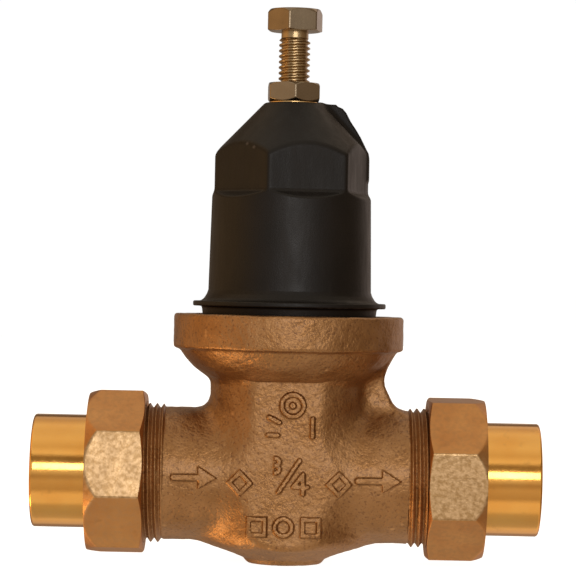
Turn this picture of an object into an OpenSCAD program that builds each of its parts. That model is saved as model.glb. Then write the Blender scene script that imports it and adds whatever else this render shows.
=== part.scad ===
// Pressure reducing valve, three quarter inch, with a loose union tailpiece on each port.
// Z is the spindle axis, pointing up. X is the flow direction, from the inlet to the outlet.
// The origin is the middle of the flat foot under the body. All lengths are in millimetres.

/* [Body] */
// Height of the port axis above the foot
port_axis_z = 22.2; // [22:0.1:23]
// Distance from the spindle axis to each union face of the body
union_face_x = 41; // [40.6:0.1:42]
// Outer radius of the plain cast port
port_r = 16.75; // [16:0.05:17]
// Radius of the waterway in each port
waterway_r = 10; // [9.4:0.1:10.2]
// Outer radius of the column that holds the cartridge
column_r = 19.5; // [19.2:0.1:20]
// Outer radius of the flange that takes the bonnet
flange_r = 29.1; // [28:0.1:30]
// Height of the lower edge of the flange
flange_z = 54.1; // [53.6:0.1:54.4]
// Height of the upper face of the flange
flange_top_z = 62.8; // [62:0.1:63]
// Radius of the flat foot under the body
foot_r = 8.7; // [8:0.1:9.5]

/* [Unions] */
// Outer radius of the union thread
union_thread_r = 17.6; // [17.5:0.05:17.65]
// Pitch of the union thread, 14 to the inch
union_pitch = 1.814; // [1.7:0.001:1.85]
// Width across the flats of the octagonal union nut
union_flats = 39.7; // [39:0.1:41]
// Outer radius of the tailpiece
tail_r = 14.3; // [14:0.05:14.4]
// Radius of the solder socket, for copper tube of three quarter inch nominal size
socket_r = 11.175; // [11.1:0.005:11.3]
// Depth of the solder socket
socket_depth = 19.05; // [16:0.05:19.1]
// Distance from the spindle axis to each socket mouth
socket_mouth_x = 64; // [63.5:0.1:66]

/* [Bonnet] */
// Radius of the thin lip above the flange
lip_r = 24.45; // [23.5:0.05:25]
// Radius of the bonnet just above its flare
bonnet_r = 20.65; // [20.3:0.05:21]
// Width across the flats of the wrench hexagon
bonnet_flats = 35; // [34.6:0.1:35.2]
// Height of the small land on top of the bonnet
bonnet_top_z = 116.6; // [116.4:0.1:116.8]

/* [Adjusting screw] */
// Outer radius of the screw thread, five sixteenths of an inch across
screw_r = 3.97; // [3.9:0.01:3.98]
// Pitch of the screw thread, 18 to the inch
screw_pitch = 1.411; // [1.3:0.001:1.5]
// Width across the flats of the screw head and of the lock nut
screw_flats = 12.7; // [12:0.1:13]
// Height of the screw tip
screw_tip_z = 96.7; // [96.5:0.1:97]
// Height of the underside of the screw head
head_z = 134.8; // [134:0.1:135]
// Height of the top of the screw head
head_top_z = 140.4; // [140:0.1:142]

/* [Spring] */
// Mean radius of the adjusting spring
spring_r = 12; // [11.8:0.1:12.1]
// Diameter of the spring wire
wire_d = 3.2; // [2.8:0.1:3.4]
// Number of turns of wire
spring_turns = 7; // [6:1:7]

/* [Hidden] */
$fn = 96;
cut = 1;
wire_fn = 10;
oring_fn = 24;
oring_slack = 0.02;
tooth_rise = 0.38;
corner_margin = 0.2;

// Colours
bronze = [0.60, 0.40, 0.26];
brass = [0.80, 0.62, 0.34];
dull_brass = [0.58, 0.50, 0.33];
black_plastic = [0.10, 0.09, 0.09];
rubber = [0.16, 0.16, 0.17];
steel = [0.62, 0.63, 0.65];
fibre = [0.35, 0.42, 0.38];

// Body, outside
foot_edge_r = 10;
foot_edge_h = 1.3;
bowl_r = 10.8;
bowl_z = 1.5;
bowl_top_z = 5;
cone_z = 46.4;
cone_top_z = 50.7;
cone_top_r = 25.9;
flange_neck_r = 27.4;
flange_neck_z = 53.7;
flange_round = 0.6;
column_flat_y = 17.6;
thread_start_x = 30.7;
thread_depth = 1.05;
union_thread_turns = 5;
union_thread_lead = 0.18;
rib_half_w = 4.5;
rib_outline = [[15, 36], [15, 52], [24.3, 49.8], [24.6, 45.5], [25.7, 43], [27.3, 40], [29.5, 37.5], [29.5, 36]];

// Body, inside: the inlet chamber lies above a partition and the outlet chamber below it
chamber_r = 14.5;
floor_z = 4.6;
floor_r = 9.5;
floor_top_z = 7.2;
partition_z = 20.2;
partition_top_z = 24.2;
partition_bore_r = 10.5;
seat_bore_z = 38;
seat_bore_r = 16;
under_diaphragm_z = 44;
under_diaphragm_r = 16.5;
ledge_z = 52.5;
bonnet_bore_r = 22.2;
bore_stop_x = 17;
passage_r = 1.3;
passage_top = [15.5, 49.5];
passage_end = [26, 30.5];

// Unions
gasket_t = 1.6;
gasket_r = 16.2;
collar_r = 16.3;
collar_t = 4.3;
tail_bore_r = 9.75;
tail_round = 0.8;
nut_inner_x = 35.6;
nut_outer_x = 50;
nut_shoulder_x = 47.05;
nut_bore_r = 17.75;
nut_shoulder_r = 14.5;
nut_chamfer = 2.4;
nut_lead = 0.8;
nut_corner_r = union_flats / 2 / cos(22.5);
collar_x = union_face_x + gasket_t;
inlet_nut_corner = 31.8;
outlet_nut_corner = 20.2;

// Bonnet
skirt_z = 55.1;
skirt_r = 22;
skirt_bore_r = 17.5;
skirt_thread_depth = 0.6;
skirt_thread_pitch = 1.5;
skirt_thread_turns = 4;
collar_top_z = 64.8;
lip_top_z = 66.1;
flare = [[22.5, 66.1], [21.6, 66.9], [21, 67.9]];
flare_top_z = 68.9;
hex_z = 94;
hex_top_z = 103.4;
hex_corner_r = bonnet_flats / 2 / cos(30);
hex_turn = 13;
bonnet_taper_r = 20.1;
dome_top_r = 8;
dome_top_z = 115.8;
land_r = 7.2;
hollow_r = 17;
hollow_z = 88;
upper_hollow_r = 14.6;
upper_hollow_z = 93;
hollow_roof_z = 103;
roof_top_z = 112;
insert_r = 6;
insert_z = 107;
insert_flange_r = 6.2;
insert_flange_z = 116;
insert_top_z = 117;
lug_half_t = 1.5;
lug_outline = [
    [6, 100], [6, 116.4], [10.8, 116.4], [12.7, 115.6], [13.6, 114.6], [14.7, 112.6],
    [17.5, 108.5], [19.4, 104.4], [19.4, 100]
];

// Adjusting screw and its lock nut
thread_bore_r = screw_r + 0.06;
screw_thread_depth = 0.86;
tip_taper = 1.2;
head_corner_r = screw_flats / 2 / cos(30);
head_chamfer = 1;
head_foot_chamfer = 0.3;
head_turn = 258;
lock_nut_top_z = 121.7;
lock_nut_turn = 274;
lock_nut_chamfer = 0.8;

// Spring button and spring
button_r = 14.2;
button_z = 93.7;
button_t = 3.2;
button_boss_r = 6;
button_boss_top = 98.7;
button_dimple_r = 4.4;
button_pilot_r = 10;
button_pilot_z = 91.2;
spring_seat_z = 54.5;
spring_step = 20;

// Diaphragm stack
diaphragm_r = 21.8;
diaphragm_t = 1.6;
diaphragm_centre_z = 46.5;
diaphragm_centre_t = 1.4;
fold_under = [[11.6, 46.5], [14.9, 51.5], [15.9, 52.5]];
fold_over = [[15.7, 54.1], [14.2, 53.1], [11.2, 47.9]];
ring_top_z = 55.1;
plate_z = diaphragm_centre_z + diaphragm_centre_t;
plate_outline = [[10.6, 47.9], [11.2, 49.3], [13.6, 53.7], [13.8, 54.5]];
plate_pocket_r = 7.5;
plate_pocket_z = 50.3;
washer_r = 9;
washer_z = 45.1;
stem_thread_r = 2.9;
stem_clearance = 0.06;
stem_nut_flats = 10;
stem_nut_t = 4;
stem_nut_chamfer = 0.5;

// Stem with its balancing piston
stem_foot_z = 15.5;
stem_foot_top_z = 17;
stem_rod_r = 3;
stem_foot_r = 3.6;
piston_z = 35.2;
piston_top_z = 40;
piston_r = 6.93;
piston_groove_z = 36.6;
piston_groove_h = 2;
piston_groove_r = 5.6;
stem_neck_r = 4.2;
stem_top_z = 55;
tap_r = 2.05;
tap_depth = 7;

// Cartridge barrel, seat and strainer
barrel_r = 10.4;
barrel_z = 20;
barrel_bore_r = 7;
barrel_flange_r = 15.85;
barrel_top_z = 42.5;
seat_pocket_r = 8.05;
seat_pocket_top_z = 23;
window_z = 26;
window_top_z = 33.6;
window_w = 8;
upper_groove_z = 39.4;
upper_groove_h = 2;
upper_groove_r = 14;
lower_groove_z = 21.4;
lower_groove_h = 1.2;
lower_groove_r = 9.5;
seat_lip_z = 18.5;
seat_lip_r = 7.9;
seat_flange_r = 9.4;
seat_flange_z = 19;
seat_spigot_r = 8.03;
seat_spigot_top_z = 22.9;
screen_r = 13.3;
screen_bore_r = 12.8;
screen_slots = 18;
screen_slot_w = 2.4;
screen_slot_z = 27;
screen_slot_top_z = 35.4;

// Disc holder, disc and screw
holder_z = 10.5;
holder_r = 9.7;
holder_rim_z = 14.7;
disc_z = 12.5;
disc_r = 8.6;
disc_bore_r = 3.1;
hub_r = 3;
disc_screw_r = 2;
disc_screw_head_r = 3.9;
disc_screw_head_z = 8.1;
disc_screw_top_z = 20.5;
disc_screw_chamfer = 0.3;

// Points of an annular thread profile, as [radius, height]
function thread_points(root_r, crest_r, pitch, start, turns) = [
    for (turn = [0:turns - 1], tooth = [[root_r, 0], [crest_r, tooth_rise], [crest_r, 1 - tooth_rise]])
        [tooth[0], start + pitch * (turn + tooth[1])]
];

// Centre of the spring wire at an angle along the coil: the end turns lie flat
function coil_z(turn, turns, low, high, wire) =
    let (closed = 1, rise = (high - low - wire * 3) / (turns - 2 * closed))
    turn < closed ? low + wire / 2 + wire * turn / closed
    : turn > turns - closed ? high - wire / 2 - wire * (turns - turn) / closed
    : low + wire * 1.5 + rise * (turn - closed);

module ring(outer_r, inner_r, low_z, high_z) {
    translate([0, 0, low_z])
        difference() {
            cylinder(r = outer_r, h = high_z - low_z);
            translate([0, 0, -cut])
                cylinder(r = inner_r, h = high_z - low_z + 2 * cut);
        }
}

module plug(plug_r, low_z, high_z) {
    translate([0, 0, low_z])
        cylinder(r = plug_r, h = high_z - low_z);
}

// A prism with flat sides whose two ends are chamfered like a turned nut.
// The turned outline runs on past the corners, so that its two cones cut them cleanly.
module nut_blank(corner_r, flat_r, sides, low_z, high_z, low_chamfer, high_chamfer, turn) {
    past = 1 + corner_margin / (corner_r - flat_r);
    intersection() {
        rotate([0, 0, turn])
            translate([0, 0, low_z])
                cylinder(r = corner_r, h = high_z - low_z, $fn = sides);
        rotate_extrude()
            polygon([
                [0, low_z], [flat_r, low_z], [corner_r + corner_margin, low_z + low_chamfer * past],
                [corner_r + corner_margin, high_z - high_chamfer * past], [flat_r, high_z], [0, high_z]
            ]);
    }
}

// Turns a shape built along Z so that it points out of the outlet or the inlet
module on_port(side) {
    translate([0, 0, port_axis_z])
        rotate([0, side * 90, 0])
            children();
}

module oring(centre_r, section_r, z) {
    rotate_extrude()
        translate([centre_r, z])
            circle(r = section_r, $fn = oring_fn);
}

module body_shell() {
    rotate_extrude()
        polygon([
            [0, 0], [foot_r, 0], [foot_edge_r, foot_edge_h], [bowl_r, bowl_z], [column_r, bowl_top_z],
            [column_r, cone_z], [cone_top_r, cone_top_z], [flange_neck_r, flange_neck_z],
            [flange_r - flange_round, flange_z], [flange_r, flange_z + flange_round],
            [flange_r, flange_top_z - flange_round], [flange_r - flange_round, flange_top_z],
            [0, flange_top_z]
        ]);
    for (side = [-1, 1])
        on_port(side) {
            cylinder(r = port_r, h = thread_start_x);
            rotate_extrude()
                polygon(concat(
                    [[0, thread_start_x - cut]],
                    [[union_thread_r - thread_depth, thread_start_x - cut]],
                    thread_points(union_thread_r - thread_depth, union_thread_r, union_pitch,
                        thread_start_x + union_thread_lead, union_thread_turns),
                    [[union_thread_r - thread_depth, union_face_x], [0, union_face_x]]
                ));
        }
    rotate([90, 0, 0])
        translate([0, 0, -rib_half_w])
            linear_extrude(height = 2 * rib_half_w)
                polygon(rib_outline);
}

module body_hollow() {
    rotate_extrude()
        polygon([
            [0, floor_z], [floor_r, floor_z], [chamber_r, floor_top_z], [chamber_r, partition_z],
            [partition_bore_r, partition_z], [partition_bore_r, partition_top_z],
            [chamber_r, partition_top_z], [chamber_r, seat_bore_z], [seat_bore_r, seat_bore_z],
            [seat_bore_r, under_diaphragm_z], [under_diaphragm_r, under_diaphragm_z],
            [under_diaphragm_r, ledge_z], [bonnet_bore_r, ledge_z],
            [bonnet_bore_r, flange_top_z + cut], [0, flange_top_z + cut]
        ]);
    for (side = [-1, 1])
        on_port(side)
            translate([0, 0, bore_stop_x])
                cylinder(r = waterway_r, h = union_face_x - bore_stop_x + cut);
    intersection() {
        on_port(-1)
            translate([0, 0, chamber_r / 2])
                cylinder(r = waterway_r, h = bore_stop_x - chamber_r / 2 + cut);
        translate([-union_face_x, -column_r, partition_top_z])
            cube([union_face_x, 2 * column_r, chamber_r]);
    }
    intersection() {
        on_port(1)
            translate([0, 0, chamber_r / 2])
                cylinder(r = waterway_r, h = bore_stop_x - chamber_r / 2 + cut);
        translate([0, -column_r, partition_z - chamber_r])
            cube([union_face_x, 2 * column_r, chamber_r]);
    }
}

module sensing_passage() {
    run = passage_end[0] - passage_top[0];
    drop = passage_top[1] - passage_end[1];
    translate([passage_top[0], 0, passage_top[1]])
        rotate([0, 180 - atan(run / drop), 0])
            cylinder(r = passage_r, h = norm([run, drop]));
}

// The flat faces on the front and the back of the column, which carry the cast marks
module column_flats() {
    for (side = [0, 180])
        rotate([0, 0, side])
            translate([-column_r, column_flat_y, bowl_top_z])
                cube([2 * column_r, column_r, cone_z - bowl_top_z]);
}

module body() {
    color(bronze)
        difference() {
            body_shell();
            column_flats();
            body_hollow();
            sensing_passage();
        }
}

module bonnet_blank() {
    intersection() {
        rotate_extrude()
            polygon(concat(
                [[0, skirt_z], [skirt_r - skirt_thread_depth, skirt_z]],
                thread_points(skirt_r - skirt_thread_depth, skirt_r, skirt_thread_pitch,
                    skirt_z + skirt_thread_depth, skirt_thread_turns),
                [[skirt_r - skirt_thread_depth, flange_top_z - cut], [skirt_r, flange_top_z - cut / 2]],
                [[skirt_r, collar_top_z], [lip_r, collar_top_z], [lip_r, lip_top_z]],
                flare,
                [
                    [bonnet_r, flare_top_z], [bonnet_taper_r, hex_z], [hex_corner_r + corner_margin, hex_z],
                    [hex_corner_r + corner_margin, hex_top_z], [dome_top_r, dome_top_z],
                    [land_r, bonnet_top_z],
                    [0, bonnet_top_z]
                ]
            ));
        union() {
            plug(flange_r, skirt_z - cut, hex_z);
            rotate([0, 0, hex_turn])
                translate([0, 0, hex_z])
                    cylinder(r = hex_corner_r, h = bonnet_top_z - hex_z + cut, $fn = 6);
        }
    }
    rotate([0, 0, hex_turn])
        rotate([90, 0, 0])
            translate([0, 0, -lug_half_t])
                linear_extrude(height = 2 * lug_half_t)
                    polygon(lug_outline);
}

module bonnet() {
    color(black_plastic)
        difference() {
            bonnet_blank();
            rotate_extrude()
                polygon([
                    [0, skirt_z - cut], [skirt_bore_r, skirt_z - cut], [skirt_bore_r, lip_top_z],
                    [hollow_r, lip_top_z], [hollow_r, hollow_z], [upper_hollow_r, upper_hollow_z],
                    [upper_hollow_r, hollow_roof_z], [insert_r, roof_top_z],
                    [insert_r, insert_flange_z], [insert_flange_r, insert_flange_z],
                    [insert_flange_r, bonnet_top_z + cut], [0, bonnet_top_z + cut]
                ]);
        }
}

module thread_insert() {
    color(brass)
        difference() {
            union() {
                plug(insert_r, insert_z, insert_flange_z);
                plug(insert_flange_r, insert_flange_z, insert_top_z);
            }
            plug(thread_bore_r, insert_z - cut, insert_top_z + cut);
        }
}

module adjusting_screw() {
    thread_turns = floor((head_z - screw_tip_z - 2 * tip_taper) / screw_pitch);
    root_r = screw_r - screw_thread_depth;
    color(dull_brass) {
        rotate_extrude()
            polygon(concat(
                [[0, screw_tip_z], [root_r - tip_taper / 2, screw_tip_z]],
                thread_points(root_r, screw_r, screw_pitch, screw_tip_z + tip_taper, thread_turns),
                [[root_r, head_z - tip_taper / 2], [root_r, head_z + tip_taper], [0, head_z + tip_taper]]
            ));
        nut_blank(head_corner_r, screw_flats / 2, 6, head_z, head_top_z,
            head_foot_chamfer, head_chamfer, head_turn);
    }
}

module lock_nut() {
    color(dull_brass)
        difference() {
            nut_blank(head_corner_r, screw_flats / 2, 6, insert_top_z, lock_nut_top_z,
                lock_nut_chamfer, lock_nut_chamfer, lock_nut_turn);
            plug(thread_bore_r, insert_top_z - cut, lock_nut_top_z + cut);
        }
}

module spring_button() {
    color(steel)
        difference() {
            union() {
                plug(button_pilot_r, button_pilot_z, button_z);
                plug(button_r, button_z, button_z + button_t);
                plug(button_boss_r, button_z + button_t, button_boss_top);
            }
            plug(button_dimple_r, screw_tip_z, button_boss_top + cut);
        }
}

// The wire is swept through rings of points that follow the coil
module adjusting_spring() {
    steps = spring_turns * 360 / spring_step;
    rings = [
        for (i = [0:steps])
            let (angle = i * spring_step, z = coil_z(angle / 360, spring_turns, spring_seat_z, button_z, wire_d))
            [
                for (k = [0:wire_fn - 1])
                    let (reach = spring_r + wire_d / 2 * cos(k * 360 / wire_fn))
                    [reach * cos(angle), reach * sin(angle), z + wire_d / 2 * sin(k * 360 / wire_fn)]
            ]
    ];
    points = [for (section = rings) for (point = section) point];
    walls = [
        for (i = [0:steps - 1], k = [0:wire_fn - 1])
            let (next = (k + 1) % wire_fn)
            [i * wire_fn + k, (i + 1) * wire_fn + k, (i + 1) * wire_fn + next, i * wire_fn + next]
    ];
    first_end = [for (k = [0:wire_fn - 1]) k];
    last_end = [for (k = [wire_fn - 1:-1:0]) steps * wire_fn + k];
    color(steel)
        polyhedron(points = points, faces = concat(walls, [first_end, last_end]), convexity = 10);
}

module friction_ring() {
    color(fibre)
        ring(diaphragm_r, skirt_bore_r, ledge_z + diaphragm_t, ring_top_z);
}

module diaphragm() {
    color(rubber)
        rotate_extrude()
            polygon(concat(
                [[stem_thread_r + stem_clearance, diaphragm_centre_z]],
                fold_under,
                [[diaphragm_r, ledge_z], [diaphragm_r, ledge_z + diaphragm_t]],
                fold_over,
                [[stem_thread_r + stem_clearance, plate_z]]
            ));
}

module diaphragm_plate() {
    color(steel)
        rotate_extrude()
            polygon(concat(
                [[stem_thread_r + stem_clearance, plate_z]],
                plate_outline,
                [
                    [plate_pocket_r, spring_seat_z], [plate_pocket_r, plate_pocket_z],
                    [stem_thread_r + stem_clearance, plate_pocket_z]
                ]
            ));
}

module diaphragm_washer() {
    color(brass)
        ring(washer_r, stem_thread_r + stem_clearance, washer_z, diaphragm_centre_z);
}

module stem_nut() {
    color(brass)
        difference() {
            nut_blank(stem_nut_flats / 2 / cos(30), stem_nut_flats / 2, 6, plate_pocket_z,
                plate_pocket_z + stem_nut_t, stem_nut_chamfer, stem_nut_chamfer, 0);
            plug(stem_thread_r + stem_clearance, plate_pocket_z - cut, plate_pocket_z + stem_nut_t + cut);
        }
}

module stem() {
    color(brass)
        difference() {
            union() {
                plug(stem_foot_r, stem_foot_z, stem_foot_top_z);
                plug(stem_rod_r, stem_foot_z, piston_z);
                plug(piston_r, piston_z, piston_top_z);
                plug(stem_neck_r, piston_top_z, washer_z);
                plug(stem_thread_r, washer_z, stem_top_z);
            }
            ring(piston_r + cut, piston_groove_r, piston_groove_z, piston_groove_z + piston_groove_h);
            plug(tap_r, stem_foot_z - cut, stem_foot_z + tap_depth);
        }
}

module piston_oring() {
    section_r = (piston_r - piston_groove_r) / 2;
    color(rubber)
        oring(piston_groove_r + section_r, section_r, piston_groove_z + piston_groove_h / 2);
}

module cartridge_barrel() {
    color(brass)
        difference() {
            union() {
                plug(barrel_r, barrel_z, barrel_top_z);
                plug(barrel_flange_r, seat_bore_z, barrel_top_z);
            }
            plug(barrel_bore_r, barrel_z - cut, barrel_top_z + cut);
            plug(seat_pocket_r, barrel_z - cut, seat_pocket_top_z);
            for (quarter = [0:3])
                rotate([0, 0, 45 + quarter * 90])
                    translate([0, -window_w / 2, window_z])
                        cube([barrel_flange_r, window_w, window_top_z - window_z]);
            ring(barrel_flange_r + cut, upper_groove_r, upper_groove_z, upper_groove_z + upper_groove_h);
            ring(barrel_r + cut, lower_groove_r, lower_groove_z, lower_groove_z + lower_groove_h);
        }
}

module barrel_upper_oring() {
    section_r = (seat_bore_r - upper_groove_r) / 2 - oring_slack;
    color(rubber)
        oring(upper_groove_r + section_r, section_r, upper_groove_z + upper_groove_h / 2);
}

module barrel_lower_oring() {
    section_r = (partition_bore_r - lower_groove_r) / 2 - oring_slack;
    color(rubber)
        oring(lower_groove_r + section_r, section_r, lower_groove_z + lower_groove_h / 2);
}

module seat_ring() {
    color(steel)
        difference() {
            union() {
                plug(seat_lip_r, seat_lip_z, seat_flange_z);
                plug(seat_flange_r, seat_flange_z, barrel_z);
                plug(seat_spigot_r, barrel_z, seat_spigot_top_z);
            }
            plug(barrel_bore_r, seat_lip_z - cut, seat_spigot_top_z + cut);
        }
}

module strainer_screen() {
    color(steel)
        difference() {
            ring(screen_r, screen_bore_r, partition_top_z, seat_bore_z);
            for (slot = [0:screen_slots - 1])
                rotate([0, 0, slot * 360 / screen_slots])
                    translate([0, -screen_slot_w / 2, screen_slot_z])
                        cube([screen_r + cut, screen_slot_w, screen_slot_top_z - screen_slot_z]);
        }
}

module disc_holder() {
    color(brass) {
        ring(holder_r, disc_screw_r + stem_clearance, holder_z, disc_z);
        ring(holder_r, disc_r, disc_z, holder_rim_z);
        ring(hub_r, disc_screw_r + stem_clearance, disc_z, stem_foot_z);
    }
}

module seat_disc() {
    color(rubber)
        ring(disc_r, disc_bore_r, disc_z, stem_foot_z);
}

module disc_screw() {
    color(steel) {
        nut_blank(disc_screw_head_r, disc_screw_head_r * cos(30), 6, disc_screw_head_z, holder_z,
            disc_screw_chamfer, disc_screw_chamfer, 0);
        plug(disc_screw_r, disc_screw_head_z + cut, disc_screw_top_z);
    }
}

module union_nut(side, corner) {
    color(brass)
        on_port(side)
            difference() {
                nut_blank(nut_corner_r, union_flats / 2, 8, nut_inner_x, nut_outer_x,
                    nut_chamfer / 3, nut_chamfer, -90 * side - side * corner);
                rotate_extrude()
                    polygon([
                        [0, nut_inner_x - cut], [nut_bore_r + nut_lead, nut_inner_x - cut],
                        [nut_bore_r + nut_lead, nut_inner_x], [nut_bore_r, nut_inner_x + nut_lead],
                        [nut_bore_r, nut_shoulder_x], [nut_shoulder_r, nut_shoulder_x],
                        [nut_shoulder_r, nut_outer_x + cut], [0, nut_outer_x + cut]
                    ]);
            }
}

module inlet_union_nut() {
    union_nut(-1, inlet_nut_corner);
}

module outlet_union_nut() {
    union_nut(1, outlet_nut_corner);
}

module tailpiece(side) {
    color(brass)
        on_port(side)
            difference() {
                rotate_extrude()
                    polygon([
                        [0, collar_x], [collar_r, collar_x], [collar_r, collar_x + collar_t],
                        [tail_r, collar_x + collar_t], [tail_r, socket_mouth_x - tail_round],
                        [tail_r - tail_round / 3, socket_mouth_x - tail_round / 3],
                        [tail_r - tail_round, socket_mouth_x], [0, socket_mouth_x]
                    ]);
                plug(tail_bore_r, collar_x - cut, socket_mouth_x);
                plug(socket_r, socket_mouth_x - socket_depth, socket_mouth_x + cut);
            }
}

module inlet_tailpiece() {
    tailpiece(-1);
}

module outlet_tailpiece() {
    tailpiece(1);
}

module gasket(side) {
    color(fibre)
        on_port(side)
            ring(gasket_r, waterway_r, union_face_x, collar_x);
}

module inlet_gasket() {
    gasket(-1);
}

module outlet_gasket() {
    gasket(1);
}

body();
bonnet();
thread_insert();
adjusting_screw();
lock_nut();
spring_button();
adjusting_spring();
friction_ring();
diaphragm();
diaphragm_plate();
diaphragm_washer();
stem_nut();
stem();
piston_oring();
cartridge_barrel();
seat_ring();
barrel_upper_oring();
barrel_lower_oring();
strainer_screen();
disc_holder();
seat_disc();
disc_screw();
inlet_union_nut();
outlet_union_nut();
inlet_tailpiece();
outlet_tailpiece();
inlet_gasket();
outlet_gasket();
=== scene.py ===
"""Pressure reducing valve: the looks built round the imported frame. Functions work in millimetres."""
import math

import bpy
import numpy as np
from mathutils import Matrix, Vector


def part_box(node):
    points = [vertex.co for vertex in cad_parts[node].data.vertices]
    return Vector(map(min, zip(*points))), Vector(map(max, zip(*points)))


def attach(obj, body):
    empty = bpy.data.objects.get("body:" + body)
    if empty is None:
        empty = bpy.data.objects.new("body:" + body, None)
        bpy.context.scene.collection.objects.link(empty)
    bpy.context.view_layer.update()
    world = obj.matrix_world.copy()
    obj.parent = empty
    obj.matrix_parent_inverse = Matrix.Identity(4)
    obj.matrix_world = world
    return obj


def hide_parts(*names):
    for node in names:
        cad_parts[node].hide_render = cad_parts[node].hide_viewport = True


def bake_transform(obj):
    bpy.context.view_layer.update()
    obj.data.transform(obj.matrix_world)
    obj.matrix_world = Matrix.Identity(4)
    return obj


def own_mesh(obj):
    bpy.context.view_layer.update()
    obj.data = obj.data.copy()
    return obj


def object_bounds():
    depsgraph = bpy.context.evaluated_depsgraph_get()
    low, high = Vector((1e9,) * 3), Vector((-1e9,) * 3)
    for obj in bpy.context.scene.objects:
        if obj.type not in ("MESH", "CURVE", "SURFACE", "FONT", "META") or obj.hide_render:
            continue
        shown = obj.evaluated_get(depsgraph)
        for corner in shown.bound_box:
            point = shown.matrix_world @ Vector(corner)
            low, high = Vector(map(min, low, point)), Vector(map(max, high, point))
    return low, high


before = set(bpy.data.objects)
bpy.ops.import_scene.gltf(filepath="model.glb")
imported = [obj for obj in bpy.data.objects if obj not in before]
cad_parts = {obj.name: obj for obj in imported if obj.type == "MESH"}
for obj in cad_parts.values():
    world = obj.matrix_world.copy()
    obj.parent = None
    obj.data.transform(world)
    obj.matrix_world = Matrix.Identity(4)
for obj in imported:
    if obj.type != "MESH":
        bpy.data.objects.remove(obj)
cad_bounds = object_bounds()

MM = 0.001
TAU = 2 * math.pi


def low(node):
    return np.array(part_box(node)[0]) / MM


def high(node):
    return np.array(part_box(node)[1]) / MM


# ---------------------------------------------------------------- sizes, from the frame where it has them
PORT_Z = (low("inlet_tailpiece")[2] + high("inlet_tailpiece")[2]) / 2
FACE_X = high("body")[0]
FLANGE_R = high("body")[1]
FLANGE_TOP = high("body")[2]
FLANGE_Z = FLANGE_TOP - 8.7
PORT_R = 16.75
PORT_END = FACE_X - 10.3
COLUMN_R = 19.5
COLUMN_FLAT_Y = 17.6
FLAT_BOTTOM_Z, FLAT_TOP_Z = 3.0, 46.5
COLUMN_TOP = 56
FOOT_R, FOOT_TOP = 10.0, 8.0
RISER_HALF_T = 4.5
RISER_Z, RISER_TOP = 34, 51
RISER_EDGE = [(36, 30.6), (37.5, 29.4), (40, 27.2), (43, 25.6), (45.5, 24.5), (49.8, 24.2)]
RISER_ROOT_X = 14
CAST_WAVE, CAST_RIPPLE = 0.09, 0.035
MARK_HALF_WIDTH, ARROW_HALF_WIDTH = 0.55, 0.85
MARK_HEIGHT = 0.6
WATERWAY_R = 10.0
THREAD_R = 17.6
THREAD_PITCH = 1.814
THREAD_DEPTH = 1.05
BONNET_BORE_R = 22.2
LEDGE_Z = low("diaphragm")[2] + 6.0
CHAMBER_R = 14.5
PARTITION_Z = 20.2
PARTITION_TOP = low("strainer_screen")[2]
SEAT_BORE_Z = high("strainer_screen")[2]
SEAT_BORE_R = 16.0
DIAPHRAGM_ROOM_Z = 44.0
DIAPHRAGM_ROOM_R = 16.5
SENSING_X, SENSING_Z = 15.5, 49.5
SENSING_OUT, SENSING_DOWN = 10.5, 19.0
SENSING_R = 1.3

LIP_R = high("bonnet")[0]
BONNET_TOP = high("bonnet")[2]
BONNET_BOTTOM = low("bonnet")[2]
LIP_Z, LIP_TOP = FLANGE_TOP + 2.0, FLANGE_TOP + 3.3
BONNET_FLAT_R = 17.5
BONNET_R = 20.15
BONNET_FOOT = [(62.8, 22.0), (66.1, 22.4), (66.9, 21.6), (67.9, 21.0), (68.9, 20.65), (93.5, BONNET_R)]
BONNET_WALL = [(54, 17.5), (66.1, 17.5), (66.2, 17.0), (88, 17.0), (93, 14.6), (103, 14.6), (112, 6.0)]
SHELF_Z = 93.9
SPINDLE_BORE_R = 6.0
ROOF_Z = 112
INSERT_RIM_Z = 116
GUSSET_HALF_T = 1.6
GUSSET_RIM = [
    (98, 19.4), (104.4, 19.3), (106.5, 18.5), (108.5, 17.5), (110.6, 16.1),
    (112.6, 14.7), (114.6, 13.6), (115.6, 12.7), (116.2, 11.2),
]
BONNET_HEX_TURN = math.radians(13)
INSERT_R = high("thread_insert")[0]
INSERT_TOP = high("thread_insert")[2]

SCREW_TIP = low("adjusting_screw")[2]
SCREW_TOP = high("adjusting_screw")[2]
SCREW_R = 3.97
SCREW_PITCH = 1.411
SCREW_DEPTH = 0.66
HEAD_Z = SCREW_TOP - 5.6
NECK_Z = HEAD_Z - 1.7
NECK_R = 3.45
HEAD_FLAT_R = 6.35
HEAD_TURN = math.radians(258)
LOCK_NUT_Z, LOCK_NUT_TOP = low("lock_nut")[2], high("lock_nut")[2]
LOCK_NUT_TURN = math.radians(274)

NUT_IN = low("outlet_union_nut")[0]
NUT_OUT = high("outlet_union_nut")[0]
NUT_FLAT_R = 19.85
NUT_BORE_R = 17.75
NUT_SHOULDER_X = 47.05
NUT_THREAD_DEPTH = 0.85
NUT_SHOULDER_R = 14.5
INLET_NUT_CORNER = math.radians(31.8)
OUTLET_NUT_CORNER = math.radians(20.2)
COLLAR_X = low("outlet_tailpiece")[0]
COLLAR_R = (high("outlet_tailpiece")[2] - low("outlet_tailpiece")[2]) / 2
MOUTH_X = high("outlet_tailpiece")[0]
TAIL_R = 14.3
SOCKET_R = 11.175
SOCKET_X = MOUTH_X - 19.05
TAIL_BORE_R = 9.75


# ---------------------------------------------------------------- distance fields
def join(a, b, soft):
    """The union of two fields, with a fillet about as wide as soft."""
    h = np.maximum(soft - np.abs(a - b), 0) / soft
    return np.minimum(a, b) - h * h * soft / 4


def meet(a, b, soft):
    """The part that two fields share, with a rounded edge about as wide as soft."""
    return -join(-a, -b, soft)


def slab(value, start, end):
    """The space between two parallel planes."""
    return np.maximum(start - value, value - end)


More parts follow.
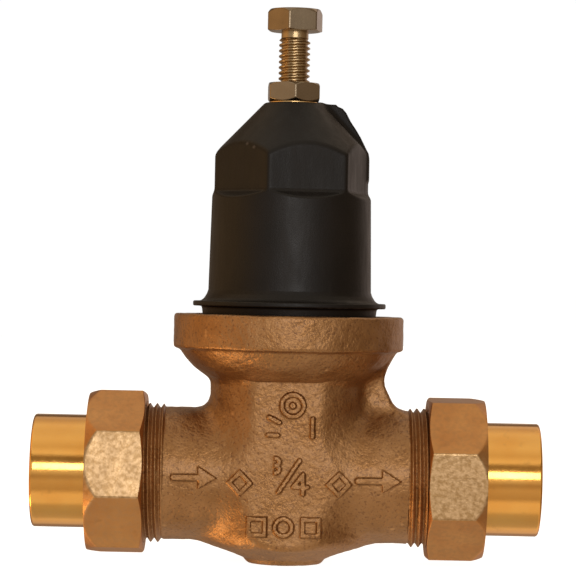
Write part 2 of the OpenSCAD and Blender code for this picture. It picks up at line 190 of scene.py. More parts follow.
def profile(height, stops):
    """A size that changes with height, from stops of (height, size)."""
    return np.interp(height, [at for at, _ in stops], [size for _, size in stops])


def drum(radius, along, r, start, end, round_r):
    """A cylinder with rounded rims, from its radius and length coordinates."""
    u = radius - (r - round_r)
    v = np.abs(along - (start + end) / 2) - ((end - start) / 2 - round_r)
    return np.hypot(np.maximum(u, 0), np.maximum(v, 0)) + np.minimum(np.maximum(u, v), 0) - round_r


def plane(a, b, point, normal):
    """The signed distance over a line in a plane, from a point on it and the direction it faces."""
    size = math.hypot(*normal)
    return ((a - point[0]) * normal[0] + (b - point[1]) * normal[1]) / size


def stroke(u, v, start, end, half):
    """A bar with round ends on a flat, from start to end."""
    du, dv = end[0] - start[0], end[1] - start[1]
    t = np.clip(((u - start[0]) * du + (v - start[1]) * dv) / (du * du + dv * dv), 0, 1)
    return np.hypot(u - start[0] - t * du, v - start[1] - t * dv) - half


def waves(x, y, z, length, seed, count=10):
    """A smooth uneven pattern between about -1 and 1, for the waviness of cast faces."""
    rng = np.random.default_rng(seed)
    total = 0
    for _ in range(count):
        d = rng.normal(size=3)
        d = d / np.linalg.norm(d) * TAU / (length * rng.uniform(0.7, 1.6))
        total = total + np.sin(d[0] * x + d[1] * y + d[2] * z + rng.uniform(0, TAU))
    return total / math.sqrt(count * 2)


def marks(u, v):
    """Raised marks on the front of the casting: flow arrows, the size, a date wheel and foundry signs."""
    parts = []
    for centre in (-22.6, 23.2):
        parts.append(stroke(u, v, (centre - 5.2, PORT_Z), (centre + 1.2, PORT_Z), ARROW_HALF_WIDTH))
        head = np.maximum(plane(u, np.abs(v - PORT_Z), (centre + 5.4, 0), (0.62, 1)), centre + 0.8 - u)
        parts.append(head)
    half = MARK_HALF_WIDTH
    base_u, base_v = 0.7, PORT_Z + 1.2
    for top, bottom in ((4.1, 2.3), (2.3, 0.5)):
        middle = (top + bottom) / 2
        ring = np.abs(np.hypot(u - base_u + 3.3, v - base_v - middle) - 0.9) - half
        parts.append(np.maximum(ring, base_u - 3.7 - u))
    parts.append(stroke(u, v, (base_u - 2.4, base_v - 4.2), (base_u + 2.6, base_v + 3.6), half))
    parts.append(stroke(u, v, (base_u + 3.6, base_v - 4.6), (base_u + 3.6, base_v + 0.2), half))
    parts.append(stroke(u, v, (base_u + 3.6, base_v + 0.2), (base_u + 1.2, base_v - 2.9), half))
    parts.append(stroke(u, v, (base_u + 1.2, base_v - 2.9), (base_u + 4.7, base_v - 2.9), half))
    wheel = np.hypot(u - 1.4, v - 40.6)
    parts.append(np.abs(wheel - 2.7) - half)
    parts.append(wheel - 0.8)
    parts.append(stroke(u, v, (-4.4, 37.6), (-1.9, 36.4), half))
    parts.append(stroke(u, v, (-4.6, 33.2), (-2.2, 33.2), half))
    parts.append(stroke(u, v, (6.4, 33.0), (6.4, 37.4), half))
    for centre in (-7.0, 6.4):
        parts.append(np.abs(np.maximum(np.abs(u - centre), np.abs(v - 10.4)) - 2.0) - half)
    parts.append(np.abs(np.hypot(u + 0.4, v - 10.4) - 2.1) - half)
    for centre in (-11.4, 13.2):
        parts.append(np.abs(np.abs(u - centre) + np.abs(v - PORT_Z + 1.0) - 2.6) / math.sqrt(2) - half)
    return np.minimum.reduce(parts)


def cast_field(x, y, z):
    """The outside of the casting, as it comes out of the sand."""
    r = np.hypot(x, y)
    rho = np.hypot(y, z - PORT_Z)
    bowl = plane(r, z, (10.8, 1.5), (4, -8.7))
    column = meet(np.maximum(r - COLUMN_R, z - COLUMN_TOP), bowl, 3.0)
    foot = drum(r, z, FOOT_R, 0.0, FOOT_TOP, 1.3)
    under = meet(plane(r, z, (19.8, 46.4), (4.3, -6.1)), plane(r, z, (25.9, 50.7), (3.0, -1.5)), 2.0)
    under = np.maximum(under, z - FLANGE_Z - 1)
    flange = drum(r, z, FLANGE_R, FLANGE_Z, FLANGE_TOP, 0.8)
    port = np.maximum(rho - PORT_R, np.abs(x) - PORT_END)
    riser = meet((x - profile(z, RISER_EDGE)) * 0.85, np.abs(y) - RISER_HALF_T, 1.2)
    riser = meet(riser, slab(z, RISER_Z, RISER_TOP), 0.5)
    riser = np.maximum(riser, RISER_ROOT_X - x)
    tower = join(column, under, 1.2)
    solid = join(tower, port, 4.6)
    flats = np.minimum.reduce([np.abs(y) - COLUMN_FLAT_Y, z - FLAT_BOTTOM_Z, FLAT_TOP_Z - z])
    solid = meet(solid, flats, 0.7)
    solid = join(solid, riser, 3.0)
    solid = join(solid, flange, 0.8)
    solid = join(solid, foot, 0.8)
    return solid + CAST_WAVE * waves(x, y, z, 7.0, 3) + CAST_RIPPLE * waves(x, y, z, 1.9, 4, 14)


def thread_field(x, y, z):
    """Both threaded port ends, right-handed about the outward axis."""
    along = np.abs(x)
    rho = np.hypot(y, z - PORT_Z)
    turn = np.arctan2(z - PORT_Z, y * np.sign(x)) / TAU
    phase = (along - PORT_END) / THREAD_PITCH - turn
    tooth = np.abs((phase % 1) - 0.5) * 2
    rise = np.clip((along - PORT_END + 0.3) / 0.9, 0, 1)
    height = np.clip(tooth * 1.25 - 0.12, 0, 1) * THREAD_DEPTH * rise
    root = THREAD_R - THREAD_DEPTH
    lead = THREAD_R - np.maximum(along - (FACE_X - 0.9), 0)
    return np.maximum((rho - np.minimum(root + height, lead)) * 0.8, slab(along, PORT_END - 2, FACE_X))


def hollow_field(x, y, z):
    """The machined inside of the body."""
    r = np.hypot(x, y)
    rho = np.hypot(y, z - PORT_Z)
    lower = np.maximum(r - CHAMBER_R, slab(z, 4.6, PARTITION_Z))
    lower = np.maximum(lower, plane(r, z, (9.5, 4.6), (2.6, -5.0)))
    partition = np.maximum(r - 10.5, slab(z, PARTITION_Z - 1, PARTITION_TOP + 1))
    upper = np.maximum(r - CHAMBER_R, slab(z, PARTITION_TOP, SEAT_BORE_Z + 1))
    seat = np.maximum(r - SEAT_BORE_R, slab(z, SEAT_BORE_Z, DIAPHRAGM_ROOM_Z + 1))
    room = np.maximum(r - DIAPHRAGM_ROOM_R, slab(z, DIAPHRAGM_ROOM_Z, LEDGE_Z + 1))
    mouth = np.maximum(r - BONNET_BORE_R - np.maximum(z - FLANGE_TOP + 0.5, 0), LEDGE_Z - z)
    bores = np.maximum(rho - WATERWAY_R - np.maximum(np.abs(x) - FACE_X + 0.5, 0), 17 - np.abs(x))
    inner = np.maximum(rho - WATERWAY_R, slab(np.abs(x), 8, 18))
    passes = np.maximum(inner, np.where(x < 0, PARTITION_TOP - z, z - PARTITION_Z))
    along = (x - SENSING_X) * SENSING_OUT - (z - SENSING_Z) * SENSING_DOWN
    t = np.clip(along / (SENSING_OUT ** 2 + SENSING_DOWN ** 2), 0, 1)
    to_x, to_z = x - SENSING_X - SENSING_OUT * t, z - SENSING_Z + SENSING_DOWN * t
    sensing = np.sqrt(to_x ** 2 + y * y + to_z ** 2) - SENSING_R
    return np.minimum.reduce([lower, partition, upper, seat, room, mouth, bores, passes, sensing])


def body_field(x, y, z):
    cast = cast_field(x, y, z)
    front = np.maximum(marks(x, z), y)
    cast = join(cast, np.maximum(front, cast - MARK_HEIGHT), 0.35)
    cast = np.maximum(cast, np.abs(y) - FLANGE_R)
    cast = np.maximum(cast, z - FLANGE_TOP)
    cast = np.maximum(cast, -z)
    return meet(np.minimum(cast, thread_field(x, y, z)), -hollow_field(x, y, z), 0.25)


def hexagon(x, y, flat_r, turn, sides=6):
    """The distance past the flats of a prism with a corner at angle turn."""
    best = None
    for k in range(sides):
        a = turn + TAU * (k + 0.5) / sides
        d = x * math.cos(a) + y * math.sin(a) - flat_r
        best = d if best is None else meet(best, d, 0.5)
    return best


def bonnet_field(x, y, z):
    r = np.hypot(x, y)
    wall = (r - profile(z, BONNET_FOOT)) * 0.93
    flats = hexagon(x, y, BONNET_FLAT_R, BONNET_HEX_TURN)
    shelf = (z - SHELF_Z + 0.65 * flats) * 0.84
    wall = meet(wall, join(flats, shelf, 0.7), 0.4)
    dome = plane(r, z, (19.3, 104.0), (11.8, 11.3))
    solid = meet(meet(wall, dome, 0.7), z - BONNET_TOP, 0.4)
    u = x * math.cos(BONNET_HEX_TURN) + y * math.sin(BONNET_HEX_TURN)
    v = y * math.cos(BONNET_HEX_TURN) - x * math.sin(BONNET_HEX_TURN)
    rim = (u - profile(z, GUSSET_RIM)) * 0.85
    lug = meet(meet(rim, np.abs(v) - GUSSET_HALF_T, 0.6), slab(z, GUSSET_RIM[0][0], BONNET_TOP), 0.4)
    solid = join(solid, np.maximum(lug, -u), 1.6)
    lip = drum(r, z, LIP_R, LIP_Z, LIP_TOP, 0.35)
    solid = join(solid, lip, 0.6)
    solid = np.maximum(solid, BONNET_BOTTOM - z)
    hollow = np.maximum((r - profile(z, BONNET_WALL)) * 0.7, z - ROOF_Z)
    hollow = np.minimum(hollow, r - SPINDLE_BORE_R)
    hollow = np.minimum(hollow, np.maximum(r - INSERT_R, INSERT_RIM_Z - z))
    return np.maximum(solid, -hollow)


# ---------------------------------------------------------------- fields to meshes
BLOCK = 6
FAR = 9.0


def spaced(*stops):
    """Grid lines through stops given as (position, step up to it)."""
    lines = [stops[0][0]]
    for (start, _), (end, step) in zip(stops, stops[1:]):
        count = max(1, round((end - start) / step))
        lines += list(np.linspace(start, end, count + 1)[1:])
    return np.array(lines)


def sampled(field, axes):
    """The field on the grid, worked out only in the blocks that the surface may cross."""
    ends = [np.minimum(np.arange(0, len(a), BLOCK) + BLOCK, len(a) - 1) for a in axes]
    firsts = [a[::BLOCK] for a in axes]
    lasts = [a[e] for a, e in zip(axes, ends)]
    mids = np.meshgrid(*[(a + b) / 2 for a, b in zip(firsts, lasts)], indexing="ij")
    halves = np.meshgrid(*[(b - a) / 2 for a, b in zip(firsts, lasts)], indexing="ij")
    coarse = field(*mids)
    near = np.abs(coarse) < np.sqrt(sum(h * h for h in halves)) * 1.35 + 2.2

    def spread(block_values):
        grown = block_values.repeat(BLOCK, 0).repeat(BLOCK, 1).repeat(BLOCK, 2)
        return grown[: len(axes[0]), : len(axes[1]), : len(axes[2])]

    values = spread(np.where(coarse < 0, -FAR, FAR).astype(np.float32)).copy()
    at = np.nonzero(spread(near))
    values[at] = field(*[a[i] for a, i in zip(axes, at)])
    return values


def surface_net(values, axes):
    """Points and quads of the surface where the values change sign."""
    inside = values < 0
    strides = np.array([(values.shape[1] - 1) * (values.shape[2] - 1), values.shape[2] - 1, 1])
    cells, spots = [], []
    for axis in range(3):
        ahead = np.roll(inside, -1, axis)
        ahead[(slice(None),) * axis + (-1,)] = inside[(slice(None),) * axis + (-1,)]
        at = np.array(np.nonzero(inside != ahead))
        after = at.copy()
        after[axis] += 1
        start, end = values[tuple(at)].astype(float), values[tuple(after)].astype(float)
        t = start / (start - end)
        spot = np.stack([a[i] for a, i in zip(axes, at)], 1)
        spot[:, axis] += t * (axes[axis][after[axis]] - axes[axis][at[axis]])
        b, c = (axis + 1) % 3, (axis + 2) % 3
        home = (at * strides[:, None]).sum(0)
        quad = np.stack([home, home - strides[b], home - strides[b] - strides[c], home - strides[c]], 1)
        quad[start > 0] = quad[start > 0][:, ::-1]
        cells.append(quad)
        spots.append(spot)
    cells, spots = np.concatenate(cells), np.concatenate(spots)
    _, index = np.unique(cells, return_inverse=True)
    index = index.reshape(-1)
    share = np.bincount(index)
    points = np.stack([np.bincount(index, np.repeat(spots[:, k], 4)) / share for k in range(3)], 1)
    return points, index.reshape(-1, 4)


def slope(field, points, step):
    """The field and its gradient at points."""
    value = field(*points.T)
    rises = [field(*(points + step * axis).T) - field(*(points - step * axis).T) for axis in np.eye(3)]
    return value, np.stack(rises, 1) / (2 * step)


def settle(field, points, rounds, reach):
    """Moves points onto the surface of the field, by no more than reach each round."""
    for _ in range(rounds):
        value, tilt = slope(field, points, 0.03)
        push = value / np.maximum((tilt * tilt).sum(1), 0.2)
        points = points - tilt * np.clip(push, -reach, reach)[:, None]
    return points


def to_mesh(name, points, faces):
    """A mesh in metres from points in millimetres and faces of one size."""
    faces = np.asarray(faces, dtype=np.int32)
    mesh = bpy.data.meshes.new(name)
    mesh.vertices.add(len(points))
    mesh.vertices.foreach_set("co", (np.asarray(points) * MM).astype(np.float32).ravel())
    mesh.loops.add(faces.size)
    mesh.loops.foreach_set("vertex_index", faces.ravel())
    mesh.polygons.add(len(faces))
    mesh.polygons.foreach_set("loop_start", np.arange(0, faces.size, faces.shape[1], dtype=np.int32))
    mesh.update(calc_edges=True)
    mesh.validate()
    return mesh


def mesh_points(mesh):
    flat = np.empty(len(mesh.vertices) * 3, dtype=np.float32)
    mesh.vertices.foreach_get("co", flat)
    return flat.reshape(-1, 3).astype(float) / MM


def piece(name, mesh):
    obj = bpy.data.objects.new(name, mesh)
    bpy.context.scene.collection.objects.link(obj)
    return obj


def from_field(name, field, axes, keep, normal_step):
    """A piece from a field: meshed, thinned to a share of its faces, and put back on the surface."""
    points, quads = surface_net(sampled(field, axes), axes)
    points = settle(field, points, 2, 0.25)
    obj = piece(name, to_mesh(name, points, quads))
    thin = obj.modifiers.new("thin", "DECIMATE")
    thin.ratio = keep
    shown = bpy.data.meshes.new_from_object(obj.evaluated_get(bpy.context.evaluated_depsgraph_get()))
    obj.modifiers.remove(thin)
    obj.data = shown
    shown.name = name
    points = settle(field, mesh_points(shown), 1, 0.1)
    shown.vertices.foreach_set("co", (points * MM).astype(np.float32).ravel())
    _, tilt = slope(field, points, normal_step)
    tilt = tilt / np.maximum(np.linalg.norm(tilt, axis=1), 1e-6)[:, None]
    shown.polygons.foreach_set("use_smooth", np.ones(len(shown.polygons), dtype=bool))
    shown.update()
    shown.normals_split_custom_set_from_vertices(tilt.tolist())
    return obj


# ---------------------------------------------------------------- turned pieces
def turned(name, rows, angles, cap=None, closed=True, sharp=35):
    """Rows of (along, radius) spun about Z. cap changes the radius by angle, as flats and threads do.
    A closed outline goes round a hole. An open one starts and ends on the axis."""
    rows = np.array(rows, dtype=float)
    along = np.repeat(rows[:, :1], len(angles), 1)
    radius = np.repeat(rows[:, 1:2], len(angles), 1)
    angle = np.repeat(np.array(angles)[None, :], len(rows), 0)
    if cap is not None:
        radius = cap(angle, along, radius)
    points = np.stack([radius * np.cos(angle), radius * np.sin(angle), along], 2).reshape(-1, 3)
    n, m = len(rows), len(angles)
    i, j = np.meshgrid(np.arange(n if closed else n - 1), np.arange(m), indexing="ij")
    i2, j2 = (i + 1) % n, (j + 1) % m
    quads = np.stack([i * m + j, i * m + j2, i2 * m + j2, i2 * m + j], 2).reshape(-1, 4)
    faces = [tuple(q) for q in quads.tolist()]
    if not closed:
        points = np.concatenate([points, [[0, 0, rows[0, 0]], [0, 0, rows[-1, 0]]]])
        faces += [(n * m, (k + 1) % m, k) for k in range(m)]
        faces += [(n * m + 1, (n - 1) * m + k, (n - 1) * m + (k + 1) % m) for k in range(m)]
    mesh = bpy.data.meshes.new(name)
    mesh.from_pydata((points * MM).tolist(), [], faces)
    mesh.validate()
    mesh.polygons.foreach_set("use_smooth", np.ones(len(mesh.polygons), dtype=bool))
    mesh.set_sharp_from_angle(angle=math.radians(sharp))
    mesh.update()
    obj = piece(name, mesh)
    even = obj.modifiers.new("normals", "WEIGHTED_NORMAL")
    even.keep_sharp = True
    return obj


def even_angles(count):
    return np.arange(count) * TAU / count


def corner_angles(sides, turn, per_side):
    """Angles round a prism, closer together near its corners."""
    t = np.arange(per_side) / per_side
    eased = t - 0.11 * np.sin(TAU * t)
    return np.concatenate([turn + (k + eased) * TAU / sides for k in range(sides)])


def fillet(along, radius, r, start, end, steps=5):
    """Rows round a rim: centre, radius of the round, and angles in degrees from the radial direction."""
    turns = np.radians(np.linspace(start, end, steps))
    return [(along + r * math.sin(t), radius + r * math.cos(t)) for t in turns]


def prism_cap(sides, flat_r, turn, low_z, high_z, low_cut, high_cut):
    """The reach of a chamfered prism: cuts are how far each turned chamfer comes down a corner."""
    corner_r = flat_r / math.cos(math.pi / sides)

    def cap(angle, along, radius):
        offset = (angle - turn) % (TAU / sides) - math.pi / sides
        flat = flat_r / np.cos(offset)
        near = flat_r / np.cos(TAU / sides - np.abs(offset))
        reach = join(flat, near, 0.22)
        top = flat_r + (high_z - along) / high_cut * (corner_r - flat_r)
        bottom = flat_r + (along - low_z) / low_cut * (corner_r - flat_r)
        reach = join(join(reach, top, 0.18), bottom, 0.18)
        return np.minimum(radius, reach)

    return cap


def set_on_port(obj, side):
    """Turns a piece built along Z so that it points out of the outlet (1) or the inlet (-1)."""
    place = Matrix.Translation((0, 0, PORT_Z * MM)) @ Matrix.Rotation(side * math.pi / 2, 4, "Y")
    obj.data.transform(place)
    return obj


def ramp_rows(start, end, radius, step):
    """Rows along a wall of one radius."""
    count = max(2, round(abs(end - start) / step) + 1)
    return [(a, radius) for a in np.linspace(start, end, count)]


def tooth(phase, crest=0.2):
    """A thread's height, 0 to 1, over one pitch, with a flat crest and root."""
    t = np.abs((phase % 1) - 0.5) * 2
    return np.clip((t - crest) / (1 - 2 * crest), 0, 1)


# ---------------------------------------------------------------- finishes
def socket(node, name, value):
    node.inputs[name].default_value = value


class Finish:
    """A procedural material: nodes are added one by one and linked by name."""

    def __init__(self, name):
        self.material = bpy.data.materials.new(name)
        self.material.use_nodes = True
        self.tree = self.material.node_tree
        self.shader = self.tree.nodes["Principled BSDF"]
        self.coords = self.tree.nodes.new("ShaderNodeTexCoord").outputs["Object"]
        self.bump = None

    def link(self, output, node, name):
        self.tree.links.new(output, node.inputs[name])

    def noise(self, size, detail=2.0, stretch=(1, 1, 1), coords=None):
        """Noise with features about size millimetres across."""
        move = self.tree.nodes.new("ShaderNodeMapping")
        socket(move, "Scale", tuple(v / (size * MM) for v in stretch))
        self.link(coords or self.coords, move, "Vector")
        made = self.tree.nodes.new("ShaderNodeTexNoise")
        socket(made, "Scale", 1.0)
        socket(made, "Detail", detail)
        self.link(move.outputs["Vector"], made, "Vector")
        return made.outputs["Fac"]

    def remap(self, value, low_in, high_in, low_out, high_out):
        made = self.tree.nodes.new("ShaderNodeMapRange")
        ends = {"From Min": low_in, "From Max": high_in, "To Min": low_out, "To Max": high_out}
        for name, number in ends.items():
            socket(made, name, number)
        self.link(value, made, "Value")
        return made.outputs["Result"]

    def mix(self, factor, a, b, way="MIX"):
        made = self.tree.nodes.new("ShaderNodeMix")
        made.data_type = "RGBA"
        made.blend_type = way
        made.inputs[0].default_value = 1.0
        for at, value in ((0, factor), (6, a), (7, b)):
            if isinstance(value, tuple):
                made.inputs[at].default_value = (*value, 1.0)
            elif isinstance(value, (int, float)):
                made.inputs[at].default_value = value
            else:
                self.tree.links.new(value, made.inputs[at])
        return made.outputs[2]

    def maths(self, kind, a, b):
        made = self.tree.nodes.new("ShaderNodeMath")
        made.operation = kind
        for at, value in ((0, a), (1, b)):
            if isinstance(value, (int, float)):
                made.inputs[at].default_value = value
            else:
                self.tree.links.new(value, made.inputs[at])
        return made.outputs[0]

    def relief(self, height, depth):
        """Adds bump of a depth in millimetres for a height between 0 and 1."""
        made = self.tree.nodes.new("ShaderNodeBump")
        socket(made, "Distance", depth * MM)
        socket(made, "Strength", 1.0)
        self.link(height, made, "Height")
        if self.bump is not None:
            self.link(self.bump, made, "Normal")
        self.bump = made.outputs["Normal"]

    def edges(self, start, end):
        """0 on flat places and 1 on sharp outer edges."""
        shape = self.tree.nodes.new("ShaderNodeNewGeometry")
        return self.remap(shape.outputs["Pointiness"], start, end, 0, 1)

    def round_axis(self, port):
        """Coordinates for lathe lines: along the axis and out from it, on the spindle or on a port."""
        parts = self.tree.nodes.new("ShaderNodeSeparateXYZ")
        self.link(self.coords, parts, "Vector")
        x, y, z = parts.outputs
        if port:
            z = self.maths("SUBTRACT", z, PORT_Z * MM)
            along, first, second = x, y, z
        else:
            along, first, second = z, x, y
        out = self.maths("SQRT", self.maths("ADD", self.maths("MULTIPLY", first, first),
                                            self.maths("MULTIPLY", second, second)), 0)
        both = self.tree.nodes.new("ShaderNodeCombineXYZ")
        self.link(along, both, "X")
        self.link(out, both, "Y")
        return both.outputs["Vector"]

    def facing(self, axis, start, end):
        """0 to 1 as the surface turns to one side of the object: axis 0 to 2, toward its low end."""
        parts = self.tree.nodes.new("ShaderNodeSeparateXYZ")
        self.link(self.tree.nodes["Texture Coordinate"].outputs["Normal"], parts, "Vector")
        return self.remap(parts.outputs[axis], -start, -end, 0, 1)

    def height(self, start, end):
        """0 to 1 between two heights in millimetres."""
        parts = self.tree.nodes.new("ShaderNodeSeparateXYZ")
        self.link(self.coords, parts, "Vector")
        return self.remap(parts.outputs["Z"], start * MM, end * MM, 0, 1)

    def done(self, colour, roughness, metallic, **sockets):
        self.link(colour, self.shader, "Base Color")
        self.link(roughness, self.shader, "Roughness")
        if self.bump is not None:
            self.link(self.bump, self.shader, "Normal")
        socket(self.shader, "Metallic", metallic)
        for name, value in sockets.items():
            socket(self.shader, name.replace("_", " "), value)
        return self.material


def cast_bronze():
    f = Finish("cast_bronze")
    patches = f.noise(7.0, 4)
    sand = f.noise(0.6, 3)
    pits = f.noise(1.6, 2)
    colour = f.mix(f.remap(patches, 0.35, 0.68, 0, 1), (0.355, 0.168, 0.053), (0.445, 0.230, 0.088))
    colour = f.mix(f.remap(sand, 0.44, 0.30, 0, 0.6), colour, (0.13, 0.048, 0.018))
    colour = f.mix(f.edges(0.54, 0.66), colour, (0.56, 0.30, 0.12))
    f.relief(sand, 0.20)
    f.relief(pits, 0.20)
    return f.done(colour, f.remap(patches, 0.3, 0.7, 0.36, 0.50), 0.92, Coat_Weight=0.5, Coat_Roughness=0.35)


def lathe_brass(name, port, dark, light, low_rough, high_rough, grain, lines, coat, detail=None):
    f = Finish(name)
    cloud = f.noise(9.0, 3)
    fine = f.noise(0.5, 2)
    turned_lines = f.noise(0.22, 1, (1, 1, 1), f.round_axis(port))
    stain = f.noise(4.0, 5)
    colour = f.mix(f.remap(cloud, 0.3, 0.7, 0, 1), dark, light)
    colour = f.mix(f.remap(stain, 0.62, 0.78, 0, 0.35), colour, tuple(c * 0.45 for c in dark))
    colour = f.mix(f.edges(0.53, 0.62), colour, tuple(min(1, c * 1.15) for c in light))
    f.relief(fine, grain)
    f.relief(turned_lines, lines)
    rough = f.remap(stain, 0.3, 0.7, low_rough, high_rough)
    if detail:
        colour = detail(f, colour)
    return f.done(colour, rough, 1.0, Coat_Weight=coat, Coat_Roughness=low_rough)


def front_painted_highlight(f, colour):
    """Painted light: the nut's front flats get a paler, mottled brass, a painted highlight standing in for
    the light on those faces.
    """
    grains = f.noise(1.1, 3)
    painted_lit_brass = f.mix(f.remap(grains, 0.38, 0.62, 0, 1), (0.44, 0.26, 0.105), (0.66, 0.43, 0.22))
    stained = f.mix(f.remap(grains, 0.42, 0.66, 0, 0.35), colour, (0.42, 0.21, 0.075))
    # painted highlight: faces turned towards -Y take the paler brass, and the rest keep the stained colour
    return f.mix(f.facing(1, 0.80, 0.90), stained, painted_lit_brass)


def rubbed_thread(f, colour):
    """The screw's thread is brighter than its head."""
    return f.mix(f.height(HEAD_Z - 0.1, HEAD_Z), (0.40, 0.27, 0.125), colour)


def black_composite():
    f = Finish("black_composite")
    cloud = f.noise(12.0, 3)
    fine = f.noise(0.35, 2)
    flow = f.noise(2.2, 4, (1, 1, 0.25))
    colour = f.mix(f.remap(cloud, 0.3, 0.7, 0, 1), (0.0055, 0.0040, 0.0030), (0.0095, 0.0068, 0.0052))
    colour = f.mix(f.edges(0.54, 0.64), colour, (0.05, 0.04, 0.035))
    colour = f.mix(f.remap(flow, 0.6, 0.8, 0, 0.4), colour, (0.020, 0.015, 0.012))
    f.relief(fine, 0.03)
    f.relief(flow, 0.05)
    return f.done(colour, f.remap(flow, 0.3, 0.7, 0.36, 0.48), 0.0, Specular_IOR_Level=0.28)


def plain_finish(name, dark, light, low_rough, high_rough, metallic, size, depth, stretch=(1, 1, 1)):
    """Hidden pieces: rubber, steel and fibre."""
    f = Finish(name)
    cloud = f.noise(6.0, 3)
    fine = f.noise(size, 3, stretch)
    colour = f.mix(f.remap(cloud, 0.3, 0.7, 0, 1), dark, light)
    colour = f.mix(f.remap(fine, 0.6, 0.75, 0, 0.4), colour, tuple(c * 0.55 for c in dark))
    colour = f.mix(f.edges(0.53, 0.62), colour, tuple(min(1, c * 1.25) for c in light))
    f.relief(fine, depth)
    return f.done(colour, f.remap(cloud, 0.3, 0.7, low_rough, high_rough), metallic)


FINISHES = {
    "cast_bronze": cast_bronze(),
    # the nut brass carries a painted highlight on its front-facing flats
    "nut_brass": lathe_brass(
        "nut_brass", True, (0.56, 0.24, 0.065), (0.68, 0.32, 0.095),
        0.34, 0.46, 0.045, 0.008, 0.5, front_painted_highlight),
    "polished_brass": lathe_brass(
        "polished_brass", True, (0.92, 0.43, 0.080), (0.97, 0.50, 0.11), 0.10, 0.17, 0.008, 0.008, 0.6),
    "machined_brass": lathe_brass(
        "machined_brass", False, (0.70, 0.42, 0.15), (0.80, 0.52, 0.22), 0.18, 0.28, 0.01, 0.012, 0.4),
    "screw_brass": lathe_brass(
        "screw_brass", False, (0.175, 0.117, 0.060), (0.25, 0.18, 0.105),
        0.22, 0.34, 0.02, 0.006, 0.8, rubbed_thread),
    "dull_brass": lathe_brass(
        "dull_brass", False, (0.27, 0.20, 0.12), (0.34, 0.26, 0.17), 0.24, 0.36, 0.02, 0.006, 0.8),
    "black_composite": black_composite(),
    "rubber": plain_finish("rubber", (0.018, 0.018, 0.019), (0.03, 0.03, 0.031), 0.55, 0.7, 0.0, 0.4, 0.02),
    "steel": plain_finish("steel", (0.42, 0.43, 0.45), (0.56, 0.57, 0.58), 0.25, 0.38, 1.0, 0.5, 0.01),
    "fibre": plain_finish(
        "fibre", (0.12, 0.16, 0.13), (0.2, 0.25, 0.2), 0.7, 0.85, 0.0, 0.5, 0.04, (1, 1, 4)),
}


def dress(obj, name, body=None, nodes=()):
    """Gives a piece its finish, and a new piece its body and the CAD nodes that it stands for."""
    obj.data.materials.clear()
    obj.data.materials.append(FINISHES[name])
    if body:
        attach(obj, body)
    if nodes:
        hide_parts(*nodes)
    return obj


# ---------------------------------------------------------------- the pieces
def make_body():
    x_lines = spaced((-FACE_X - 0.6, 0), (-PORT_END, 0.2), (PORT_END, 0.42), (FACE_X + 0.6, 0.2))
    y_lines = spaced((-FLANGE_R - 0.8, 0), (FLANGE_R + 0.8, 0.46))
    z_lines = spaced((-0.7, 0), (FLANGE_TOP + 0.8, 0.42))
    obj = from_field("body_casting", body_field, (x_lines, y_lines, z_lines), 0.5, 0.2)
    return dress(obj, "cast_bronze", "valve_body", ["body"])


def make_bonnet():
    side = spaced((-LIP_R - 0.8, 0), (LIP_R + 0.8, 0.45))
    z_lines = spaced(
        (BONNET_BOTTOM - 0.7, 0), (LIP_Z - 1, 0.6), (LIP_TOP + 3, 0.25), (BONNET_TOP + 0.8, 0.42))
    obj = from_field("bonnet_moulding", bonnet_field, (side, side, z_lines), 0.5, 0.12)
    return dress(obj, "black_composite", "valve_body", ["bonnet"])


def make_nut(side, corner):
    label = "outlet" if side > 0 else "inlet"
    turn = -side * (math.pi / 2 + corner)
    corner_r = NUT_FLAT_R / math.cos(math.pi / 8)
    flats = prism_cap(8, NUT_FLAT_R, turn, NUT_IN, NUT_OUT, 0.8, 3.0)

    def shape(angle, along, radius):
        bore = np.isclose(radius, NUT_BORE_R) & (along < NUT_SHOULDER_X - 1) & (along > NUT_IN + 0.4)
        groove = tooth((along - NUT_IN) / THREAD_PITCH - angle / TAU) * NUT_THREAD_DEPTH
        return np.where(bore, NUT_BORE_R + groove, flats(angle, along, radius))

    rows = [(NUT_IN, r) for r in (18.6, 19.2)]
    rows += ramp_rows(NUT_IN, NUT_IN + 1.2, corner_r, 0.1)
    rows += ramp_rows(NUT_IN + 1.6, NUT_OUT - 3.6, corner_r, 1.0)
    rows += ramp_rows(NUT_OUT - 3.3, NUT_OUT, corner_r, 0.12)
    rows += [(NUT_OUT, 18.6), (NUT_OUT, 16.5)]
    rows += fillet(NUT_OUT - 0.3, NUT_SHOULDER_R + 0.3, 0.3, 90, 180)
    rows += [(NUT_SHOULDER_X + 0.2, NUT_SHOULDER_R), (NUT_SHOULDER_X, NUT_SHOULDER_R + 0.2)]
    rows += [(NUT_SHOULDER_X, NUT_BORE_R - 0.2)]
    rows += ramp_rows(NUT_SHOULDER_X - 0.2, NUT_IN + 0.5, NUT_BORE_R, THREAD_PITCH / 12)
    rows += [(NUT_IN + 0.4, NUT_BORE_R), (NUT_IN, NUT_BORE_R + 0.4)]
    obj = turned(label + "_nut_turned", rows, corner_angles(8, turn, 26), shape)
    set_on_port(obj, side)
    return dress(obj, "nut_brass", label + "_nut", [label + "_union_nut"])


